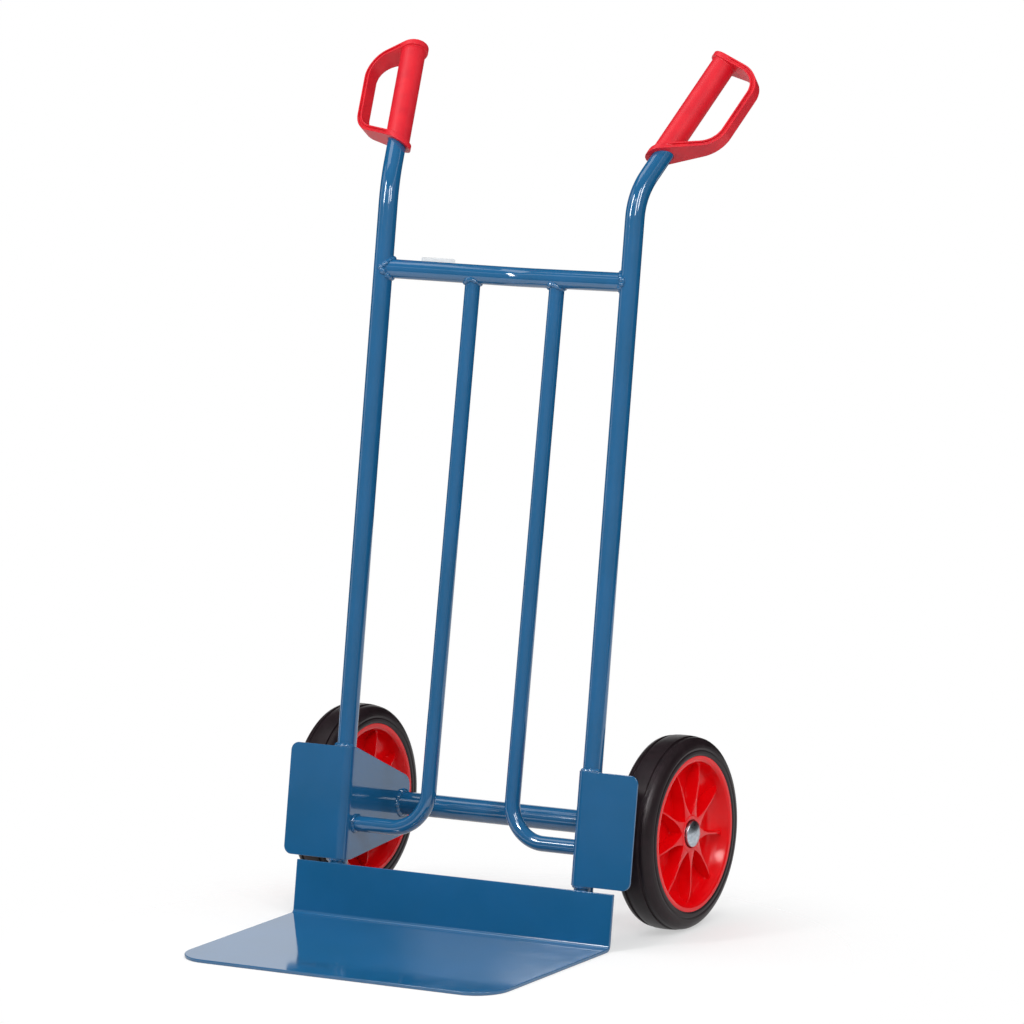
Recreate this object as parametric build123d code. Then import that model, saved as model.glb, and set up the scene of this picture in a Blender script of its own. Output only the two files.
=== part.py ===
# Sack truck: a welded tube frame on a folded toe plate, two solid-tyred wheels on one axle,
# and two D-guard hand grips.
# Millimetres. +Z is up, -Y is the front where the load stands, +X is the operator's left.
# The frame is drawn upright on a bench whose origin is the axle's centre, then leaned back
# onto its toe plate and wheels. The left side is drawn, and the right side is its mirror image.

import os
from math import acos, atan2, cos, hypot, radians, sin, tan

from build123d import *

os.makedirs("parts", exist_ok=True)

# Stance
lean_angle = 9.8
wheel_radius = 125.0

# Tubes of the frame
upright_radius = 12.5
bar_radius = 10.0
tube_wall = 2.0
weld_gap = 0.05
upright_ahead_of_axle = 127.0
upright_half_spacing = 183.0
foot_clearance = 6.7
crossbar_height = 694.5
crossbar_bow = 40.0
crossbar_bend_radius = 120.0
bar_half_spacing = 62.5
bar_bend_radius = 50.0
bar_leg_height = -26.0
bar_foot_ahead_of_axle = 115.0

# Handles at the top of the uprights: one bend that leans them back and splays them
handle_corner_height = 807.0
handle_bend_angle = 35.4
handle_splay_angle = 22.9
handle_bend_radius = 65.0

# Hand grips, measured along the handle from the corner of its bend
grip_radius = 16.2
collar_radius = 19.2
guard_thickness = 7.8
guard_reach = 61.3
near_arm_along = 67.1
near_arm_slope = 0.59
near_corner_radius = 37.0
far_arm_along = 219.4
far_arm_slope = 0.10
far_corner_radius = 30.5
guard_edge_half_width = 8.5
guard_rail = 2.2
guard_groove_depth = 3.0
grip_turn = -6.9
plug_recess = 1.5
plug_head = 4.0
plug_crown = 0.15
plug_stem_length = 14.0
plug_clearance = 0.15

# Wheel brackets: folded sheet, a wheel guard in front and an axle cheek behind it
bracket_sheet = 3.0
bracket_half_height = 73.0
bracket_outer_reach = 257.5
bracket_fold_radius = 10.0
guard_corner_radius = 11.0
cheek_rear = 14.5
cheek_rear_top = 33.8
cheek_rear_bottom = -40.0
cheek_top_taper_start = -127.0
cheek_bottom_taper_start = -122.5
cheek_corner_radius = 18.0

# Toe plate: folded plate welded to the front of the uprights
toe_sheet = 4.5
toe_half_width = 235.3
toe_front_half_width = 233.7
toe_depth = 295.5
toe_corner_radius = 45.0
toe_fold_radius = 5.0
toe_wall_top = -78.4

# Axle line
axle_radius = 10.0
axle_clearance = 0.2
axle_tube_radius = 15.0
spacer_radius = 14.0
washer_radius = 17.0
washer_thickness = 2.0
running_gap = 0.3

# Wheel rim, measured from the wheel's own centre plane
wheel_centre = 242.0
hub_half_length = 22.0
hub_recess_radius = 18.4
hub_recess_depth = 4.0
hub_radius = 24.0
hub_draft = 2.0
hub_chamfer = 1.0
lip_half_width = 26.7
lip_radius = 100.5
lip_width = 5.0
lip_face = 7.4
seat_radius = 96.0
dish_radius = 86.0
web_half_thickness = 3.0

# Ribs on both faces of the rim
rib_count = 9
rib_half_thickness = 1.3
rib_neck_radius = 52.0
rib_flare_radius = 80.0
rib_end_flare = 5.0
rib_hub_flare = 8.6
rib_hub_face = 21.4
rib_middle_face = 20.4
rib_middle_radius = 69.0
rib_shoulder_face = 18.6
rib_shoulder_radius = 83.0
rib_end_face = 15.6
rib_wall_overlap = 0.4

# Solid tyre, half section as distance from the middle plane and radius:
# a raised middle band, a groove, a round shoulder and a bead step by the rim
tyre_half = [
    (0, wheel_radius),
    (6, 124.9),
    (11, 124.5),
    (11.5, 122.4),
    (15.0, 122.0),
    (15.6, 123.7),
    (19, 123.0),
    (22, 121.3),
    (24.4, 118.5),
    (26.2, 114.6),
    (27.1, 110.4),
    (26.3, 107.6),
    (27.2, 106.4),
    (27.5, 103.0),
    (lip_half_width, lip_radius),
    (lip_half_width - lip_width, lip_radius),
    (lip_half_width - lip_width, seat_radius),
]

# Roller bearing in each hub
roller_count = 10
roller_radius = 2.55
roller_length = 32.0
roller_clearance = 0.1
cage_wall_half = 1.25
cage_half_length = 18.5
pocket_clearance = 0.2

# Push-on hub cap
cap_radius = 17.0
cap_skirt = 5.0
cap_shoulder = 3.5
cap_height = 10.0
cap_wall = 1.0
cap_tooth_gap = 0.05
cap_over_axle = 3.0

# Values that follow from those above
lean = radians(lean_angle)
tube_front = upright_ahead_of_axle + upright_radius
cheek_outer = upright_half_spacing - upright_radius
cheek_inner = cheek_outer - bracket_sheet
axle_bore = axle_radius + axle_clearance
roller_pitch = axle_radius + roller_clearance + roller_radius
hub_bore = roller_pitch + roller_radius + roller_clearance
hub_inner_end = wheel_centre - hub_half_length
hub_recess_floor = wheel_centre + hub_half_length - hub_recess_depth
inner_washer_end = hub_inner_end - running_gap
inner_washer_start = inner_washer_end - washer_thickness
outer_washer_start = hub_recess_floor + running_gap
cap_start = outer_washer_start + washer_thickness
axle_end = cap_start + cap_height - cap_wall - cap_over_axle
plug_top = far_arm_along + guard_thickness / 2 - plug_recess
handle_end = plug_top - plug_head
standing = Location((0, 0, wheel_radius), (-lean_angle, 0, 0))
foot_drop = wheel_radius + upright_ahead_of_axle * sin(lean) - foot_clearance
upright_foot = -foot_drop / cos(lean)


def bench_to_floor(y, z):
    return (y * cos(lean) + z * sin(lean), wheel_radius - y * sin(lean) + z * cos(lean))


def rod_along(path, radius):
    return sweep(Plane(path @ 0, z_dir=path % 0) * Circle(radius), path=path)


def tube_along(path, radius):
    ring = Circle(radius) - Circle(radius - tube_wall)
    return sweep(Plane(path @ 0, z_dir=path % 0) * ring, path=path)


def rounded_corner(before, corner, after, radius):
    to_start = (before - corner).normalized()
    to_end = (after - corner).normalized()
    half = radians(to_start.get_angle(to_end)) / 2
    start = corner + to_start * (radius / tan(half))
    end = corner + to_end * (radius / tan(half))
    bisector = (to_start + to_end).normalized()
    middle = corner + bisector * (radius / sin(half) - radius)
    return start, middle, end


def bent_path(before, corner, after, radius):
    start, middle, end = rounded_corner(before, corner, after, radius)
    bend = Edge.make_three_point_arc(start, middle, end)
    return Wire([Edge.make_line(before, start), bend, Edge.make_line(end, after)])


def turned(profile_points):
    # A solid of revolution about the wheel axis from (along axle, radius) points
    face = make_face(Polyline(*profile_points, close=True))
    return revolve(face, Axis.X)


def rod(start, end, radius):
    face = Plane((start, 0, 0), x_dir=(0, 1, 0), z_dir=(1, 0, 0)) * Circle(radius)
    return extrude(face, end - start)


def sleeve(start, end, outer, bore):
    return rod(start, end, outer) - rod(start, end, bore)


def on_axle(shape, along):
    return Location((along, 0, wheel_radius)) * shape


def mirrored(shape):
    return mirror(shape, about=Plane.YZ)


# Upright with its handle
bend = radians(handle_bend_angle)
splay = radians(handle_splay_angle)
handle_direction = Vector(sin(splay) * sin(bend), cos(splay) * sin(bend), cos(bend))
handle_corner = Vector(upright_half_spacing, -upright_ahead_of_axle, handle_corner_height)
upright_base = Vector(upright_half_spacing, -upright_ahead_of_axle, upright_foot)
handle_tip = handle_corner + handle_direction * handle_end
upright_path = bent_path(upright_base, handle_corner, handle_tip, handle_bend_radius)
upright = tube_along(upright_path, upright_radius)

# Crossbar: bowed back at its middle, its ends cut to the uprights
crossbar_end = Vector(upright_half_spacing, -upright_ahead_of_axle, crossbar_height)
crossbar_far_end = Vector(-upright_half_spacing, -upright_ahead_of_axle, crossbar_height)
crossbar_middle = Vector(0, crossbar_bow - upright_ahead_of_axle, crossbar_height)
crossbar_path = bent_path(crossbar_end, crossbar_middle, crossbar_far_end, crossbar_bend_radius)
crossbar = tube_along(crossbar_path, upright_radius)
for end in (crossbar_end, crossbar_far_end):
    crossbar -= Location(end) * Cylinder(upright_radius + weld_gap, 4 * upright_radius)

# Inner bar: from under the crossbar down, then bent outward to the axle cheek
bar_top_share = 1 - bar_half_spacing / upright_half_spacing
bar_top_back = crossbar_bow * bar_top_share - upright_ahead_of_axle
bar_top = Vector(bar_half_spacing, bar_top_back, crossbar_height)
bar_corner = Vector(bar_half_spacing, -bar_foot_ahead_of_axle, bar_leg_height)
bar_end = Vector(cheek_inner, -bar_foot_ahead_of_axle, bar_leg_height)
inner_bar = tube_along(bent_path(bar_top, bar_corner, bar_end, bar_bend_radius), bar_radius)
inner_bar -= rod_along(crossbar_path, upright_radius + weld_gap)

# Wheel bracket
guard_front = -tube_front - bracket_sheet
bracket_face = make_face(Polyline(
    (cheek_inner, cheek_rear),
    (cheek_inner, guard_front),
    (bracket_outer_reach, guard_front),
    (bracket_outer_reach, -tube_front),
    (cheek_outer, -tube_front),
    (cheek_outer, cheek_rear),
    close=True,
))
fold_outside = bracket_face.vertices().sort_by_distance((cheek_inner, guard_front, 0))[0]
bracket_face = fillet(fold_outside, bracket_fold_radius + bracket_sheet)
fold_inside = bracket_face.vertices().sort_by_distance((cheek_outer, -tube_front, 0))[0]
bracket_face = fillet(fold_inside, bracket_fold_radius)
folded_sheet = extrude(bracket_face, bracket_half_height, both=True)

cheek_outline = make_face(Polyline(
    (guard_front, bracket_half_height),
    (cheek_top_taper_start, bracket_half_height),
    (cheek_rear, cheek_rear_top),
    (cheek_rear, cheek_rear_bottom),
    (cheek_bottom_taper_start, -bracket_half_height),
    (guard_front, -bracket_half_height),
    close=True,
))
cheek_corners = cheek_outline.vertices().group_by(Axis.X)[-1]
cheek_outline = fillet(cheek_corners, cheek_corner_radius)
cheek_stock = extrude(Plane.YZ * cheek_outline, bracket_outer_reach)

guard_outline = make_face(Polyline(
    (0, bracket_half_height),
    (bracket_outer_reach, bracket_half_height),
    (bracket_outer_reach, -bracket_half_height),
    (0, -bracket_half_height),
    close=True,
))
guard_corners = guard_outline.vertices().group_by(Axis.X)[-1]
guard_outline = fillet(guard_corners, guard_corner_radius)
guard_stock = extrude(Plane.XZ * guard_outline, cheek_rear - guard_front, both=True)

wheel_bracket = folded_sheet & cheek_stock & guard_stock
wheel_bracket -= rod(0, bracket_outer_reach, axle_bore)


# Toe plate, drawn where it stands: the wall leans with the uprights, the plate lies on the floor
def wall_meets(ahead, level):
    height = (level - wheel_radius - ahead * sin(lean)) / cos(lean)
    return (bench_to_floor(-ahead, height)[0], level)


wall_front = tube_front + toe_sheet
rear_corner = wall_meets(tube_front, 0)
inside_corner = wall_meets(wall_front, toe_sheet)
toe_front = wall_meets(wall_front, 0)[0] - toe_depth + toe_sheet
toe_section = make_face(Polyline(
    bench_to_floor(-tube_front, toe_wall_top),
    rear_corner,
    (toe_front, 0),
    (toe_front, toe_sheet),
    inside_corner,
    bench_to_floor(-wall_front, toe_wall_top),
    close=True,
))
outer_fold = toe_section.vertices().sort_by_distance((*rear_corner, 0))[0]
toe_section = fillet(outer_fold, toe_fold_radius + toe_sheet)
inner_fold = toe_section.vertices().sort_by_distance((*inside_corner, 0))[0]
toe_section = fillet(inner_fold, toe_fold_radius)
toe_stock = extrude(Plane.YZ * toe_section, toe_half_width, both=True)
toe_plan = make_face(Polyline(
    (toe_half_width, 0),
    (toe_half_width, rear_corner[0]),
    (toe_front_half_width, toe_front),
    (-toe_front_half_width, toe_front),
    (-toe_half_width, rear_corner[0]),
    (-toe_half_width, 0),
    close=True,
))
toe_plan = fillet(toe_plan.vertices().group_by(Axis.Y)[0], toe_corner_radius)
toe_plate = toe_stock & extrude(toe_plan, 2 * wheel_radius)


# Hand grip: Z runs along the handle from the corner of its bend, the guard loop is toward +X
def arm_point(reach, along, slope):
    return Vector(reach, 0, along + slope * reach)


behind_grip = -2 * collar_radius
near_end = arm_point(behind_grip, near_arm_along, near_arm_slope)
near_corner = arm_point(guard_reach, near_arm_along, near_arm_slope)
far_corner = arm_point(guard_reach, far_arm_along, -far_arm_slope)
far_end = arm_point(behind_grip, far_arm_along, -far_arm_slope)
near_bend = rounded_corner(near_end, near_corner, far_corner, near_corner_radius)
far_bend = rounded_corner(near_corner, far_corner, far_end, far_corner_radius)
guard_line = Wire([
    Edge.make_line(near_end, near_bend[0]),
    Edge.make_three_point_arc(*near_bend),
    Edge.make_line(near_bend[2], far_bend[0]),
    Edge.make_three_point_arc(*far_bend),
    Edge.make_line(far_bend[2], far_end),
])
guard_outer = guard_reach + guard_thickness
edge_distance = hypot(guard_outer, guard_edge_half_width)
edge_direction = atan2(guard_edge_half_width, guard_outer)
root_direction = edge_direction + acos(collar_radius / edge_distance)


def guard_ring(thickness):
    strip = Rectangle(4 * collar_radius, thickness)
    return sweep(Plane(near_end, x_dir=(0, 1, 0), z_dir=guard_line % 0) * strip, path=guard_line)


def guard_taper(inset):
    # The guard's outline seen along the handle, straight from the collar to the loop's edge
    root_along = (collar_radius - inset) * cos(root_direction)
    root_across = (collar_radius - inset) * sin(root_direction)
    wedge = make_face(Polyline(
        (root_along, root_across),
        (guard_outer, guard_edge_half_width - inset),
        (guard_outer, inset - guard_edge_half_width),
        (root_along, -root_across),
        close=True,
    ))
    return extrude(wedge, 2 * far_arm_along)


def handle_rod(radius):
    return extrude(Circle(radius), 2 * far_arm_along)


core_section = make_face(Polyline(
    (near_end.X, near_end.Z),
    (near_corner.X, near_corner.Z),
    (far_corner.X, far_corner.Z),
    (far_end.X, far_end.Z),
    close=True,
))
core_stock = extrude(Plane.XZ * core_section, 2 * collar_radius, both=True)
guard_groove = guard_ring(guard_thickness - 2 * guard_rail)
guard_groove -= guard_taper(guard_groove_depth)
guard_groove -= handle_rod(collar_radius)
guard_stock_along_handle = guard_taper(0) + handle_rod(collar_radius)
grip = handle_rod(grip_radius) & core_stock
grip += guard_ring(guard_thickness) & guard_stock_along_handle
grip -= guard_groove
grip -= handle_rod(upright_radius)

# Plug in the open end of the handle tube
plug_stem_radius = upright_radius - tube_wall - plug_clearance
plug_section = make_face(Polyline(
    (0, handle_end - plug_stem_length),
    (plug_stem_radius, handle_end - plug_stem_length),
    (plug_stem_radius, handle_end),
    (upright_radius, handle_end),
    (upright_radius, plug_top - plug_crown),
    (0, plug_top),
    close=True,
))
plug = revolve(Plane.XZ * plug_section, Axis.Z)

handle_outward = (Vector(1, 0, 0) - handle_direction * handle_direction.X).normalized()
handle_forward = handle_outward.cross(handle_direction)
turn = radians(grip_turn)
loop_direction = handle_outward * cos(turn) + handle_forward * sin(turn)
handle_place = Plane(handle_corner, x_dir=loop_direction, z_dir=handle_direction)

# Wheel rim: a dished moulding with a middle web, turned from one section
rim_half = [
    (hub_half_length, hub_radius - hub_chamfer),
    (rib_hub_face, hub_radius),
    (web_half_thickness, hub_radius + hub_draft),
    (web_half_thickness, dish_radius),
    (lip_half_width, lip_radius - lip_face),
    (lip_half_width, lip_radius),
    (lip_half_width - lip_width, lip_radius),
    (lip_half_width - lip_width, seat_radius),
]
hub_inside = [
    (-hub_half_length, hub_bore),
    (hub_half_length - hub_recess_depth, hub_bore),
    (hub_half_length - hub_recess_depth, hub_recess_radius),
    (hub_half_length, hub_recess_radius),
]
rim = turned(rim_half + [(-along, out) for along, out in reversed(rim_half)] + hub_inside)

# Thin ribs on both faces, spread at the hub and at the rim wall
rib_root = hub_radius - hub_draft
rib_tip = lip_radius - lip_face
rib_edges = [
    Line((rib_root, rib_hub_flare), (rib_root, -rib_hub_flare)),
    Line((rib_tip, rib_end_flare), (rib_tip, -rib_end_flare)),
]
for side in (1, -1):
    neck = (rib_neck_radius, side * rib_half_thickness)
    flare = (rib_flare_radius, side * rib_half_thickness)
    rib_edges.append(TangentArc(neck, (rib_root, side * rib_hub_flare), tangent=(-1, 0)))
    rib_edges.append(Line(neck, flare))
    rib_edges.append(TangentArc(flare, (rib_tip, side * rib_end_flare), tangent=(1, 0)))
rib_outline = make_face(rib_edges)
rib_half = [
    (rib_hub_face, rib_root),
    (rib_middle_face, rib_middle_radius),
    (rib_shoulder_face, rib_shoulder_radius),
    (rib_end_face, rib_tip + rib_wall_overlap),
]
rib_envelope = turned(rib_half + [(-along, out) for along, out in reversed(rib_half)])
wheel_face = Plane((-lip_half_width, 0, 0), x_dir=(0, 0, -1), z_dir=(1, 0, 0))
for i in range(rib_count):
    rib_face = wheel_face * (Rotation(0, 0, 360 / rib_count * i) * rib_outline)
    rim += extrude(rib_face, 2 * lip_half_width) & rib_envelope

tyre = turned(tyre_half + [(-along, out) for along, out in reversed(tyre_half[1:])])

# Roller bearing: a cage with its rollers
cage_outer = roller_pitch + cage_wall_half
cage_inner = roller_pitch - cage_wall_half
cage = sleeve(-cage_half_length, cage_half_length, cage_outer, cage_inner)
roller = rod(-roller_length / 2, roller_length / 2, roller_radius)
pocket_length = roller_length + 2 * pocket_clearance
pocket_width = 2 * (roller_radius + pocket_clearance)
pocket = Box(pocket_length, pocket_width, 4 * cage_wall_half)
rollers = []
for i in range(roller_count):
    around = Location((0, 0, 0), (360 / roller_count * i, 0, 0)) * Location((0, 0, roller_pitch))
    cage -= around * pocket
    rollers.append(around * roller)
bearing_centre = (hub_inner_end + hub_recess_floor) / 2

# Push-on hub cap: a domed shell with a ring of teeth that grips the axle
cap_inside_radius = cap_radius - cap_wall
cap_hole = axle_radius + cap_tooth_gap
cap_section = make_face([
    TangentArc((cap_height, 0), (cap_skirt, cap_radius), tangent=(0, 1)),
    Line((cap_skirt, cap_radius), (0, cap_radius)),
    Line((0, cap_radius), (0, cap_hole)),
    Line((0, cap_hole), (cap_wall, cap_hole)),
    Line((cap_wall, cap_hole), (cap_wall, cap_inside_radius)),
    Line((cap_wall, cap_inside_radius), (cap_skirt, cap_inside_radius)),
    TangentArc((cap_height - cap_wall, 0), (cap_skirt, cap_inside_radius), tangent=(0, 1)),
    Line((cap_height - cap_wall, 0), (cap_height, 0)),
])
outer_shoulder = cap_section.vertices().sort_by_distance((cap_skirt, cap_radius, 0))[0]
cap_section = fillet(outer_shoulder, cap_shoulder)
inner_shoulder = cap_section.vertices().sort_by_distance((cap_skirt, cap_inside_radius, 0))[0]
cap_section = fillet(inner_shoulder, cap_shoulder - cap_wall)
hub_cap = revolve(cap_section, Axis.X)

# All pieces where they stand, the frame leaned back and the wheels on the floor
pieces = {
    "crossbar": standing * crossbar,
    "toe_plate": toe_plate,
    "axle_tube": on_axle(sleeve(-cheek_inner, cheek_inner, axle_tube_radius, axle_bore), 0),
    "axle": on_axle(rod(-axle_end, axle_end, axle_radius), 0),
}
left_pieces = {
    "upright": standing * upright,
    "inner_bar": standing * inner_bar,
    "wheel_bracket": standing * wheel_bracket,
    "grip": standing * (handle_place * grip),
    "tube_plug": standing * (handle_place * plug),
    "spacer": on_axle(sleeve(cheek_outer, inner_washer_start, spacer_radius, axle_bore), 0),
    "inner_washer": on_axle(sleeve(inner_washer_start, inner_washer_end, washer_radius, axle_bore), 0),
    "outer_washer": on_axle(sleeve(outer_washer_start, cap_start, washer_radius, axle_bore), 0),
    "rim": on_axle(rim, wheel_centre),
    "tyre": on_axle(tyre, wheel_centre),
    "roller_cage": on_axle(cage, bearing_centre),
    "rollers": on_axle(Compound(children=rollers), bearing_centre),
    "hub_cap": on_axle(hub_cap, cap_start),
}
for name, shape in left_pieces.items():
    pieces[name + "_left"] = shape
    pieces[name + "_right"] = mirrored(shape)

# The origin is on the floor under the middle of the toe plate's flat underside
flat_underside = rear_corner[0] - toe_fold_radius - toe_sheet - toe_front
axle_behind_origin = -toe_front - flat_underside / 2
for name, shape in pieces.items():
    export_step(Location((0, axle_behind_origin, 0)) * shape, "parts/" + name + ".step")
print("axle behind the origin:", round(axle_behind_origin, 4))
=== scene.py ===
from math import ceil, cos, pi, radians, sin, sqrt, tan

import bmesh
import bpy
from mathutils import Matrix, Vector


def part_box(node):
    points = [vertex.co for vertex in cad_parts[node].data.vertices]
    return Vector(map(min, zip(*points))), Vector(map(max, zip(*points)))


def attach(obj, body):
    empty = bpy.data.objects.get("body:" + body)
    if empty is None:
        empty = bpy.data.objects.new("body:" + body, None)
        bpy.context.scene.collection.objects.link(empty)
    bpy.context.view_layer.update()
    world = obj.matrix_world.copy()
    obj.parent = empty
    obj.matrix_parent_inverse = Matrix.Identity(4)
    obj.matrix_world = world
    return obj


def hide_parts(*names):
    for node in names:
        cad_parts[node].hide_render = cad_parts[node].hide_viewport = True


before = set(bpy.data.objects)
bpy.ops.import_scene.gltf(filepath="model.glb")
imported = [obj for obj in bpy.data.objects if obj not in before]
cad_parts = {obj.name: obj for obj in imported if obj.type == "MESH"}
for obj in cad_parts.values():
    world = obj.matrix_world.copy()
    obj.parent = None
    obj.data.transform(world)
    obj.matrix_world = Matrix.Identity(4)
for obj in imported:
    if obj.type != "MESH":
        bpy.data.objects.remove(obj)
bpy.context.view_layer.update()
scene = bpy.context.scene
axleCentre = sum(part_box("axle"), Vector()) / 2
print("frame loaded:", len(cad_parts), "nodes")

# Sizes are in millimetres on the bench: the axle's centre is the origin and Z runs up the uprights.
stance = {"lean": 9.8}
toMetres = Matrix.Scale(0.001, 4)
lean = radians(stance["lean"])
benchToRow = Matrix.Translation(axleCentre) @ Matrix.Rotation(-lean, 4, "X") @ toMetres
axleToRow = Matrix.Translation(axleCentre) @ toMetres
mirrorX = Matrix.Scale(-1, 4, (1, 0, 0))


def linearColour(code):
    # sRGB hex to the linear colour that the shaders take
    values = [int(code[i:i + 2], 16) / 255 for i in (1, 3, 5)]
    return [v / 12.92 if v <= 0.04045 else ((v + 0.055) / 1.055) ** 2.4 for v in values] + [1]


def addNode(tree, kind, links=None, ramp=(), **settings):
    # links has a socket or a value for each input, ramp the (position, hex) stops of a colour ramp
    node = tree.nodes.new(kind)
    for key, value in settings.items():
        setattr(node, key, value)
    for socket, value in (links or {}).items():
        if isinstance(value, bpy.types.NodeSocket):
            tree.links.new(value, node.inputs[socket])
        else:
            node.inputs[socket].default_value = value
    for i, (position, code) in enumerate(ramp):
        node.color_ramp.elements[i].position = position
        node.color_ramp.elements[i].color = linearColour(code)
    return node


def startMaterial(name):
    material = bpy.data.materials.new(name)
    material.use_nodes = True
    tree = material.node_tree
    tree.nodes.clear()
    place = addNode(tree, "ShaderNodeTexCoord").outputs["Object"]
    return material, tree, place


def closeMaterial(tree, shader):
    addNode(tree, "ShaderNodeOutputMaterial", {"Surface": shader.outputs["BSDF"]})


def perMetre(sizeInMm):
    # A pattern's scale from its real size: looks give sizes and bump depths in millimetres
    return 1000 / sizeInMm


# Gloss enamel sprayed on steel: a wet shine that mirrors its surroundings, with faint orange peel.
def makeBlueEnamel():
    look = {"tones": ((0.3, "#195B87"), (0.7, "#1D6090")), "cloud": 90, "smudge": 28,
            "roughness": (0.05, 0.10), "peel": 2.4, "bump": 0.015, "depth": 0.4}
    material, tree, place = startMaterial("blueGlossEnamel")
    cloud = addNode(tree, "ShaderNodeTexNoise", {"Vector": place, "Scale": perMetre(look["cloud"])})
    colour = addNode(tree, "ShaderNodeValToRGB", {"Fac": cloud.outputs["Fac"]}, look["tones"])
    smudge = addNode(tree, "ShaderNodeTexNoise", {
        "Vector": place, "Scale": perMetre(look["smudge"]), "Detail": 4})
    gloss = addNode(tree, "ShaderNodeMapRange", {
        "Value": smudge.outputs["Fac"], "From Min": 0.3, "From Max": 0.7,
        "To Min": look["roughness"][0], "To Max": look["roughness"][1]})
    peel = addNode(tree, "ShaderNodeTexNoise", {
        "Vector": place, "Scale": perMetre(look["peel"]), "Detail": 1})
    bump = addNode(tree, "ShaderNodeBump", {
        "Height": peel.outputs["Fac"], "Strength": look["bump"], "Distance": look["depth"] / 1000})
    closeMaterial(tree, addNode(tree, "ShaderNodeBsdfPrincipled", {
        "Base Color": colour.outputs["Color"], "Roughness": gloss.outputs["Result"],
        "Normal": bump.outputs["Normal"], "IOR": 1.75}))
    return material


# Soft PVC moulded over the handle: satin, with a spark-eroded grain drawn coarse enough to show.
def makeRedGripVinyl():
    look = {"tones": ((0.3, "#CE1327"), (0.65, "#DD1829")), "cloud": 22,
            "roughness": (0.36, 0.48), "grain": 1.6, "bump": 0.005, "depth": 0.3}
    material, tree, place = startMaterial("redGripVinyl")
    cloud = addNode(tree, "ShaderNodeTexNoise", {
        "Vector": place, "Scale": perMetre(look["cloud"]), "Detail": 3})
    colour = addNode(tree, "ShaderNodeValToRGB", {"Fac": cloud.outputs["Fac"]}, look["tones"])
    grain = addNode(tree, "ShaderNodeTexNoise", {
        "Vector": place, "Scale": perMetre(look["grain"]), "Detail": 2})
    sheen = addNode(tree, "ShaderNodeMapRange", {
        "Value": cloud.outputs["Fac"],
        "To Min": look["roughness"][0], "To Max": look["roughness"][1]})
    bump = addNode(tree, "ShaderNodeBump", {
        "Height": grain.outputs["Fac"], "Strength": look["bump"], "Distance": look["depth"] / 1000})
    closeMaterial(tree, addNode(tree, "ShaderNodeBsdfPrincipled", {
        "Base Color": colour.outputs["Color"], "Roughness": sheen.outputs["Result"],
        "Normal": bump.outputs["Normal"], "IOR": 1.47}))
    return material


# Injection-moulded polypropylene: a waxy red with a soft shine and faint flow marks.
# The mould's grain is drawn coarse enough to show.
def makeRedRimPolypropylene():
    look = {"tones": ((0.3, "#E6030B"), (0.7, "#F20510")), "flow": 40,
            "roughness": (0.16, 0.24), "grain": 1.4, "bump": 0.06, "depth": 0.3}
    material, tree, place = startMaterial("redRimPolypropylene")
    flow = addNode(tree, "ShaderNodeTexNoise", {
        "Vector": place, "Scale": perMetre(look["flow"]), "Detail": 3, "Distortion": 1.2})
    colour = addNode(tree, "ShaderNodeValToRGB", {"Fac": flow.outputs["Fac"]}, look["tones"])
    shine = addNode(tree, "ShaderNodeMapRange", {
        "Value": flow.outputs["Fac"],
        "To Min": look["roughness"][0], "To Max": look["roughness"][1]})
    grain = addNode(tree, "ShaderNodeTexNoise", {
        "Vector": place, "Scale": perMetre(look["grain"])})
    bump = addNode(tree, "ShaderNodeBump", {
        "Height": grain.outputs["Fac"], "Strength": look["bump"], "Distance": look["depth"] / 1000})
    closeMaterial(tree, addNode(tree, "ShaderNodeBsdfPrincipled", {
        "Base Color": colour.outputs["Color"], "Roughness": shine.outputs["Result"],
        "Normal": bump.outputs["Normal"], "IOR": 1.49, "Specular IOR Level": 0.3}))
    return material


# Solid rubber from a turned mould: matt black-brown with soft tool rings and a dusty bloom.
# The rings are drawn wider than the tool's own, which would not show.
def makeBlackRubber():
    look = {"tones": ((0.35, "#21191C"), (0.8, "#2A1F23")), "dust": 14,
            "roughness": (0.3, 0.44), "ring": 10.053, "bump": 0.1, "depth": 0.2}
    wavesAtOne = 20 / (2 * pi)  # waves to the metre at a scale of one
    material, tree, place = startMaterial("mouldedBlackRubber")
    dust = addNode(tree, "ShaderNodeTexNoise", {
        "Vector": place, "Scale": perMetre(look["dust"]), "Detail": 5})
    colour = addNode(tree, "ShaderNodeValToRGB", {"Fac": dust.outputs["Fac"]}, look["tones"])
    rings = addNode(tree, "ShaderNodeTexWave", {
        "Vector": place, "Scale": perMetre(look["ring"]) / wavesAtOne, "Distortion": 0.4},
        bands_direction="X")
    mattness = addNode(tree, "ShaderNodeMapRange", {
        "Value": dust.outputs["Fac"],
        "To Min": look["roughness"][0], "To Max": look["roughness"][1]})
    bump = addNode(tree, "ShaderNodeBump", {
        "Height": rings.outputs["Fac"], "Strength": look["bump"], "Distance": look["depth"] / 1000})
    closeMaterial(tree, addNode(tree, "ShaderNodeBsdfPrincipled", {
        "Base Color": colour.outputs["Color"], "Roughness": mattness.outputs["Result"],
        "Normal": bump.outputs["Normal"], "IOR": 1.45, "Specular IOR Level": 0.22}))
    return material


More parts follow.
